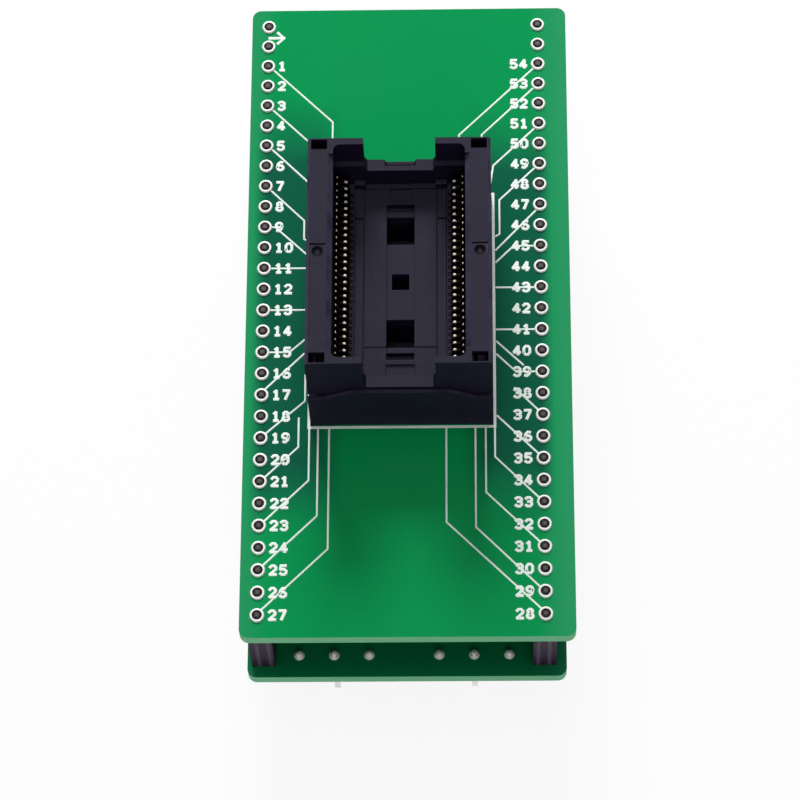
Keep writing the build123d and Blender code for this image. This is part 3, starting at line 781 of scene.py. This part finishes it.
def turned(place, rings, sides, capped=True):
    """Turned shape: a circle extruded and scaled through rings of radius and height.

    A cap closes the last ring, unless the rings come back to the first or are closed later.
    """
    x, y, z = place
    radius, height = rings[0]
    clear_selection()
    bpy.ops.mesh.primitive_circle_add(
        vertices=sides, radius=radius, fill_type="NOTHING", location=(x, y, z + height))
    piece = bpy.context.object
    bpy.ops.object.mode_set(mode="EDIT")
    bpy.ops.mesh.select_all(action="SELECT")
    for next_radius, next_height in rings[1:]:
        bpy.ops.mesh.extrude_edges_move(
            TRANSFORM_OT_translate={"value": (0, 0, next_height - height)})
        share = next_radius / radius
        bpy.ops.transform.resize(value=(share, share, 1), center_override=(x, y, z + next_height))
        radius, height = next_radius, next_height
    if capped:
        bpy.ops.mesh.edge_face_add()
    bpy.ops.mesh.select_all(action="SELECT")
    bpy.ops.mesh.remove_doubles(threshold=WELD_REACH)
    bpy.ops.mesh.normals_make_consistent(inside=False)
    end_edit()
    return piece


def softened(node, name, finish, width):
    """Copy of a CAD node, welded, with its flat faces rejoined and its edges rounded."""
    source = frame["nodes"][node]
    piece = linked(name, source.data.copy())
    begin_edit(piece)
    bpy.ops.mesh.select_all(action="SELECT")
    bpy.ops.mesh.remove_doubles(threshold=2 * WELD_REACH)
    bpy.ops.mesh.dissolve_limited(angle_limit=radians(FLAT_ANGLE))
    end_edit()
    apply_modifier(piece, "BEVEL", width=width, segments=2, limit_method="ANGLE",
                   angle_limit=radians(BEVEL_ANGLE), use_clamp_overlap=True)
    settle(piece, name, source["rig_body"], finish)
    apply_modifier(piece, "WEIGHTED_NORMAL", mode="FACE_AREA", weight=100, keep_sharp=True)
    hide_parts(node)
    return piece


def printed(name, strokes, width, level):
    """White print: strokes as thin round curves, made a mesh and pressed flat.

    Each stroke is made a little longer at both ends, so that it meets its neighbour.
    """
    height = bpy.context.scene.adapter_sizes.ink_height
    spare = width * STROKE_END_SPARE
    curve = bpy.data.curves.new(name, "CURVE")
    curve.dimensions = "3D"
    curve.bevel_depth = width / 2
    curve.bevel_resolution = 1
    curve.use_fill_caps = True
    for index, stroke in enumerate(strokes):
        layer = level + index % PRINT_LAYERS * height * PRINT_LAYER_STEP
        places = [Vector((GRID_X + x, ROW_Y + y, layer)) for x, y in stroke]
        places[0] += (places[0] - places[1]).normalized() * spare
        places[-1] += (places[-1] - places[-2]).normalized() * spare
        spline = curve.splines.new("POLY")
        spline.points.add(len(places) - 1)
        for point, spot in zip(spline.points, places):
            point.co = (*spot, 1)
    only(linked(name, curve))
    bpy.ops.object.convert(target="MESH")
    piece = bpy.context.object
    begin_edit(piece)
    bpy.ops.mesh.select_all(action="SELECT")
    bpy.ops.transform.resize(value=(1, 1, height / width * 2), center_override=(0, 0, level))
    end_edit()
    settle(piece, name, "adapter", "white_print")


# Operators, one for each piece or group of like pieces

class ADAPTER_OT_boards(bpy.types.Operator):
    """Finish the two circuit boards"""

    bl_idname = "adapter.boards"
    bl_label = "Finish Boards"

    def execute(self, context):
        for node in ("upper_board", "lower_board"):
            dress(node, f"{node}_finish")
        return {"FINISHED"}


class ADAPTER_OT_plain_nodes(bpy.types.Operator):
    """Finish the strips, pins and terminals that keep the frame's shapes"""

    bl_idname = "adapter.plain_nodes"
    bl_label = "Finish Strips And Pins"

    def execute(self, context):
        for side in ("left", "right"):
            dress(f"{side}_female_strip", "strip_moulding")
            dress(f"{side}_header_bar", "header_moulding")
            dress(f"{side}_dip_bar", "header_moulding")
            for pins in ("header_pins", "dip_pins", "strip_terminals"):
                dress(f"{side}_{pins}", "tinned_pins")
        return {"FINISHED"}


class ADAPTER_OT_pads(bpy.types.Operator):
    """Model the tinned rings round the pins' ends on the upper board"""

    bl_idname = "adapter.pads"
    bl_label = "Add Solder Rings"

    def execute(self, context):
        sizes = context.scene.adapter_sizes
        rings = (
            (RING_BORE, -0.02 * MM),
            (RING_BORE, 0.06 * MM),
            (sizes.pad_inner - 0.03 * MM, 0.04 * MM),
            (sizes.pad_inner + 0.02 * MM, sizes.pad_height * 0.9),
            (sizes.pad_inner + 0.09 * MM, sizes.pad_height),
            (sizes.pad_outer - 0.07 * MM, sizes.pad_height * 0.85),
            (sizes.pad_outer, 0.05 * MM),
            (sizes.pad_outer, -0.02 * MM),
            (RING_BORE, -0.02 * MM),
        )
        ring = turned((LEFT_ROW_X, FIRST_PIN_Y, BOARD_TOP), rings, 20, capped=False)
        in_rows(ring, HEADER_COUNT, (0, -PITCH, 0))
        in_rows(ring, 2, (RIGHT_ROW_X - LEFT_ROW_X, 0, 0))
        settle(ring, "solder_rings", "adapter", "ring_solder")
        return {"FINISHED"}


class ADAPTER_OT_lower_joints(bpy.types.Operator):
    """Model the solder joints on the top of the lower board"""

    bl_idname = "adapter.lower_joints"
    bl_label = "Add Lower Board Joints"

    def execute(self, context):
        radius = context.scene.adapter_sizes.joint_radius
        rings = (
            (radius, 0),
            (radius * 0.86, 0.14 * MM),
            (radius * 0.68, 0.36 * MM),
            (radius * 0.5, 0.58 * MM),
            (radius * 0.22, 0.68 * MM),
        )
        joint = turned((FIRST_COLUMN_X, FIRST_DIP_Y, LOWER_TOP), rings, 14)
        in_rows(joint, LOWER_PIN_COUNT, (0, -PITCH, 0))
        in_rows(joint, JOINT_COLUMNS, (COLUMN_STEP, 0, 0))
        in_rows(joint, 2, (COLUMN_GROUP_STEP, 0, 0))
        settle(joint, "lower_board_joints", "carrier", "solder")
        return {"FINISHED"}


class ADAPTER_OT_under_joints(bpy.types.Operator):
    """Model the solder cones under both boards"""

    bl_idname = "adapter.under_joints"
    bl_label = "Add Joints Underneath"

    def execute(self, context):
        rings = (
            (0.75 * MM, 0),
            (0.5 * MM, -0.2 * MM),
            (0.36 * MM, -0.5 * MM),
            (0.3 * MM, -0.9 * MM),
        )
        cone = turned((LEFT_ROW_X, FIRST_PIN_Y, LOWER_UNDER), rings, 12)
        in_rows(cone, HEADER_COUNT, (0, -PITCH, 0))
        in_rows(cone, 2, (RIGHT_ROW_X - LEFT_ROW_X, 0, 0))
        settle(cone, "strip_tail_joints", "carrier", "solder")
        tails = (
            (0.42 * MM, 0),
            (0.3 * MM, -0.15 * MM),
            (0.22 * MM, -0.45 * MM),
        )
        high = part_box("right_fixed_contacts")[1]
        outer_x = high.x - TAIL_INSET
        outer_count = CONTACT_COUNT // 2
        for word, x, shift, count in (
                ("outer", outer_x, 1, outer_count),
                ("inner", outer_x - TAIL_STAGGER, 0, CONTACT_COUNT - outer_count)):
            y = high.y - TAIL_INSET - shift * CONTACT_PITCH
            tail = turned((x, y, BOARD_UNDER), tails, 10)
            in_rows(tail, count, (0, -2 * CONTACT_PITCH, 0))
            in_rows(tail, 2, (2 * (GRID_X - x), 0, 0))
            settle(tail, f"{word}_contact_tail_joints", "adapter", "solder")
        return {"FINISHED"}


class ADAPTER_OT_outline(bpy.types.Operator):
    """Print the white outline round the socket"""

    bl_idname = "adapter.outline"
    bl_label = "Print Socket Outline"

    def execute(self, context):
        height = context.scene.adapter_sizes.ink_height
        clear_selection()
        bpy.ops.mesh.primitive_plane_add(
            size=1, location=(GRID_X, ROW_Y, BOARD_TOP - height / 2))
        piece = bpy.context.object
        piece.scale = (*OUTLINE_SIZE, 1)
        bpy.ops.object.transform_apply(location=True, rotation=True, scale=True)
        begin_edit(piece, "FACE")
        bpy.ops.mesh.select_all(action="SELECT")
        bpy.ops.mesh.inset(thickness=OUTLINE_WIDTH)
        bpy.ops.mesh.delete(type="FACE")
        bpy.ops.mesh.select_all(action="SELECT")
        bpy.ops.mesh.extrude_region_move(TRANSFORM_OT_translate={"value": (0, 0, height)})
        bpy.ops.mesh.select_all(action="SELECT")
        bpy.ops.mesh.normals_make_consistent(inside=False)
        end_edit()
        settle(piece, "socket_outline", "adapter", "white_print")
        return {"FINISHED"}


class ADAPTER_OT_lines(bpy.types.Operator):
    """Print the white lines between the pins and the socket"""

    bl_idname = "adapter.lines"
    bl_label = "Print Lines"

    def execute(self, context):
        strokes = [[(x * MM, y * MM) for x, y in line] for line in LEFT_LINES + RIGHT_LINES]
        printed("fan_lines", strokes, context.scene.adapter_sizes.line_width, BOARD_TOP)
        return {"FINISHED"}


class ADAPTER_OT_numbers(bpy.types.Operator):
    """Print the pin numbers and the arrow at pin one's end"""

    bl_idname = "adapter.numbers"
    bl_label = "Print Numbers"

    def execute(self, context):
        sizes = context.scene.adapter_sizes
        high = sizes.digit_height
        step = high * DIGIT_STEP
        strokes = []
        for number in range(1, 2 * LOWER_PIN_COUNT + 1):
            digits = str(number)
            left = number <= LOWER_PIN_COUNT
            row = number + 1 if left else 2 * LOWER_PIN_COUNT + 2 - number
            x = -HALF_SPAN + LEFT_NUMBERS_OFF if left else HALF_SPAN - RIGHT_NUMBERS_OFF
            y = (HEADER_COUNT - 1) / 2 * PITCH - row * PITCH - high / 2
            x -= (step * (len(digits) - 1) + DIGIT_CELL * high) / 2
            if left and len(digits) == 1:
                x -= ONE_DIGIT_SHIFT
            for index, digit in enumerate(digits):
                for stroke in DIGIT_STROKES[digit]:
                    strokes.append([
                        (x + index * step + u * high * DIGIT_STRETCH, y + v * high)
                        for u, v in stroke])
        printed("pin_numbers", strokes, sizes.digit_width, BOARD_TOP + NUMBER_LIFT)
        strokes = [[(x * MM, y * MM) for x, y in stroke] for stroke in ARROW]
        printed("pin_one_arrow", strokes, ARROW_WIDTH, BOARD_TOP)
        return {"FINISHED"}


class ADAPTER_OT_notched_bars(bpy.types.Operator):
    """Model the notched insulator bars of the pin rows"""

    bl_idname = "adapter.notched_bars"
    bl_label = "Model Notched Bars"

    def execute(self, context):
        for node, body, count in (
                ("left_header_bar", "adapter", HEADER_COUNT),
                ("right_header_bar", "adapter", HEADER_COUNT),
                ("left_dip_bar", "carrier", LOWER_PIN_COUNT),
                ("right_dip_bar", "carrier", LOWER_PIN_COUNT)):
            low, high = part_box(node)
            clear_selection()
            first = (middle_of(node)[0], low.y + PITCH / 2, (low.z + high.z) / 2)
            bpy.ops.mesh.primitive_cube_add(size=PITCH, location=first)
            piece = bpy.context.object
            bpy.ops.object.transform_apply(location=True, rotation=True, scale=True)
            begin_edit(piece, "EDGE")
            points = piece.data.vertices
            select_parts(piece, "edges", lambda e: abs(
                points[e.vertices[0]].co.z - points[e.vertices[1]].co.z) > PITCH / 2)
            bpy.ops.mesh.bevel(offset=BAR_CORNER, segments=1)
            bpy.ops.mesh.select_mode(type="FACE")
            select_parts(piece, "polygons", lambda f: abs(f.normal.z) > 0.9)
            bpy.ops.mesh.inset(thickness=BAR_INSET, use_individual=True)
            end_edit()
            in_rows(piece, count, (0, PITCH, 0))
            settle(piece, f"notched_{node}", body, "header_moulding",
                   smooth=SMOOTH_ANGLE / 2)
            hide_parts(node)
        return {"FINISHED"}


class ADAPTER_OT_mouldings(bpy.types.Operator):
    """Model the socket's mouldings with rounded edges"""

    bl_idname = "adapter.mouldings"
    bl_label = "Model Mouldings"

    def execute(self, context):
        width = context.scene.adapter_sizes.edge_radius
        for node in ("socket_base", "socket_cover", "chip_platform"):
            softened(node, f"rounded_{node}", "socket_moulding", width)
        return {"FINISHED"}


class ADAPTER_OT_contacts(bpy.types.Operator):
    """Model the gold contacts with rounded edges"""

    bl_idname = "adapter.contacts"
    bl_label = "Model Contacts"

    def execute(self, context):
        width = context.scene.adapter_sizes.strip_radius
        for side in ("left", "right"):
            for part, finish in (
                    ("contact_arms", "gold_contacts"), ("fixed_contacts", "dull_gold")):
                softened(f"{side}_{part}", f"{side}_rounded_{part}", finish, width)
        return {"FINISHED"}


class ADAPTER_OT_springs(bpy.types.Operator):
    """Model the cover's coil springs, which shorten as the cover is pressed"""
    # Model the cover's coil springs with rounded edges, each with a mesh of its own

    bl_idname = "adapter.springs"
    bl_label = "Model Cover Springs"

    def execute(self, context):
        for end in ("front", "rear"):
            node = f"{end}_cover_spring"
            spring = softened(
                node, f"{end}_round_spring", "spring_wire", SPRING_EDGE)
            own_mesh(spring)
        return {"FINISHED"}


class ADAPTER_OT_stage(bpy.types.Operator):
    """Set the pale floor, the soft lamps and the camera"""

    bl_idname = "adapter.stage"
    bl_label = "Set The Stage"

    def execute(self, context):
        scene = context.scene
        scene.view_settings.view_transform = "Standard"
        make_floor(scene.adapter_stage.floor)
        make_world(scene)
        for name, place, size, power in LAMPS:
            soft_lamp(name, place, size, power * scene.adapter_stage.light)
        make_camera(scene)
        return {"FINISHED"}


def make_floor(colour):
    """Pale round floor with a low curved rim, clear when seen from below."""
    floor = turned((0, 0, 0), FLOOR_RINGS, FLOOR_SIDES, capped=False)
    begin_edit(floor, "EDGE")
    points = floor.data.vertices
    hole = FLOOR_RINGS[0][0] * 1.5
    select_parts(floor, "edges", lambda e: all(points[i].co.xy.length < hole for i in e.vertices))
    bpy.ops.mesh.edge_face_add()
    bpy.ops.mesh.select_all(action="SELECT")
    bpy.ops.mesh.normals_make_consistent(inside=True)
    end_edit()
    only(floor)
    bpy.ops.object.shade_smooth_by_angle(angle=radians(SMOOTH_ANGLE))
    floor.name = "floor"
    made, tree, surface, place = start_material("pale_floor")
    drift = grain_of(tree, place, 900.0, 3.0)[1]
    shade = mixed(tree, drift, rgba(colour), rgba(scaled(colour, 0.985)))
    feed(tree, surface, {"Base Color": shade, "Roughness": 0.8})
    path = add_node(tree, "ShaderNodeLightPath")
    seen = reckoned(tree, "MAXIMUM", path.outputs["Is Camera Ray"], path.outputs["Is Glossy Ray"])
    seen = reckoned(tree, "MAXIMUM", seen, path.outputs["Is Transmission Ray"])
    white = add_node(tree, "ShaderNodeEmission", {0: WHITE, 1: 1.0})
    lit = add_node(tree, "ShaderNodeMixShader", {
        0: reckoned(tree, "MULTIPLY", seen, 0.9), 1: surface.outputs[0], 2: white.outputs[0]})
    below = add_node(tree, "ShaderNodeNewGeometry").outputs["Backfacing"]
    clear = add_node(tree, "ShaderNodeBsdfTransparent")
    shown = add_node(tree, "ShaderNodeMixShader", {
        0: below, 1: lit.outputs[0], 2: clear.outputs[0]})
    feed(tree, tree.nodes["Material Output"], {"Surface": shown.outputs[0]})
    floor.data.materials.append(made)


def make_world(scene):
    """World that gives an even part of the light and is white to the camera."""
    world = bpy.data.worlds.new("studio")
    world.use_nodes = True
    scene.world = world
    tree = world.node_tree
    path = add_node(tree, "ShaderNodeLightPath")
    strength = ranged(tree, path.outputs["Is Camera Ray"], 0.0, 1.0, WORLD_LEVEL, 1.0)
    feed(tree, tree.nodes["Background"], {"Strength": strength, "Color": WHITE})


def soft_lamp(name, place, size, power):
    """Square area lamp that faces the object."""
    data = bpy.data.lights.new(name, "AREA")
    data.size = size
    data.energy = power
    lamp = linked(name, data)
    lamp.location = place
    lamp.rotation_euler = (-Vector(place)).to_track_quat("-Z", "Y").to_euler()


def make_camera(scene):
    """Camera at the photograph's place and angle."""
    data = bpy.data.cameras.new("camera")
    data.sensor_width = CAMERA_SENSOR
    data.lens = CAMERA_LENS
    camera = linked("camera", data)
    right = Vector(CAMERA_RIGHT).normalized()
    toward = Vector(CAMERA_TOWARD).normalized()
    upward = right.cross(toward).normalized()
    right = toward.cross(upward)
    turn = Matrix((right, upward, -toward)).transposed().to_4x4()
    camera.matrix_world = Matrix.Translation(CAMERA_PLACE) @ turn
    scene.camera = camera


class ADAPTER_PT_pieces(bpy.types.Panel):
    """Buttons for each group of pieces, with their sizes and colours."""

    bl_label = "Test Socket Adapter"
    bl_idname = "ADAPTER_PT_pieces"
    bl_space_type = "VIEW_3D"
    bl_region_type = "UI"
    bl_category = "Test Socket"

    def draw(self, context):
        layout = self.layout
        for operator in OPERATORS:
            layout.operator(operator.bl_idname)
        for name, kind in GROUPS:
            box = layout.box()
            box.label(text=name.split("_")[-1].title())
            for key in kind.__annotations__:
                box.prop(getattr(context.scene, name), key)


OPERATORS = (
    ADAPTER_OT_boards,
    ADAPTER_OT_plain_nodes,
    ADAPTER_OT_pads,
    ADAPTER_OT_lower_joints,
    ADAPTER_OT_under_joints,
    ADAPTER_OT_outline,
    ADAPTER_OT_lines,
    ADAPTER_OT_numbers,
    ADAPTER_OT_notched_bars,
    ADAPTER_OT_mouldings,
    ADAPTER_OT_contacts,
    ADAPTER_OT_springs,
    ADAPTER_OT_stage,
)
GROUPS = (
    ("adapter_sizes", AdapterSizes),
    ("adapter_colours", AdapterColours),
    ("adapter_stage", AdapterStage),
)


def register():
    """Register the settings, the operators and the panel."""
    for name, group in GROUPS:
        bpy.utils.register_class(group)
        setattr(bpy.types.Scene, name, bpy.props.PointerProperty(type=group))
    for operator in OPERATORS:
        bpy.utils.register_class(operator)
    bpy.utils.register_class(ADAPTER_PT_pieces)


def unregister():
    """Take everything out again, in the other order."""
    bpy.utils.unregister_class(ADAPTER_PT_pieces)
    for operator in reversed(OPERATORS):
        bpy.utils.unregister_class(operator)
    for name, group in reversed(GROUPS):
        delattr(bpy.types.Scene, name)
        bpy.utils.unregister_class(group)


def main():
    """Run each operator in order."""
    register()
    for operator in OPERATORS:
        family, name = operator.bl_idname.split(".")
        getattr(getattr(bpy.ops, family), name)()
    clear_selection()


if __name__ == "__main__":
    main()
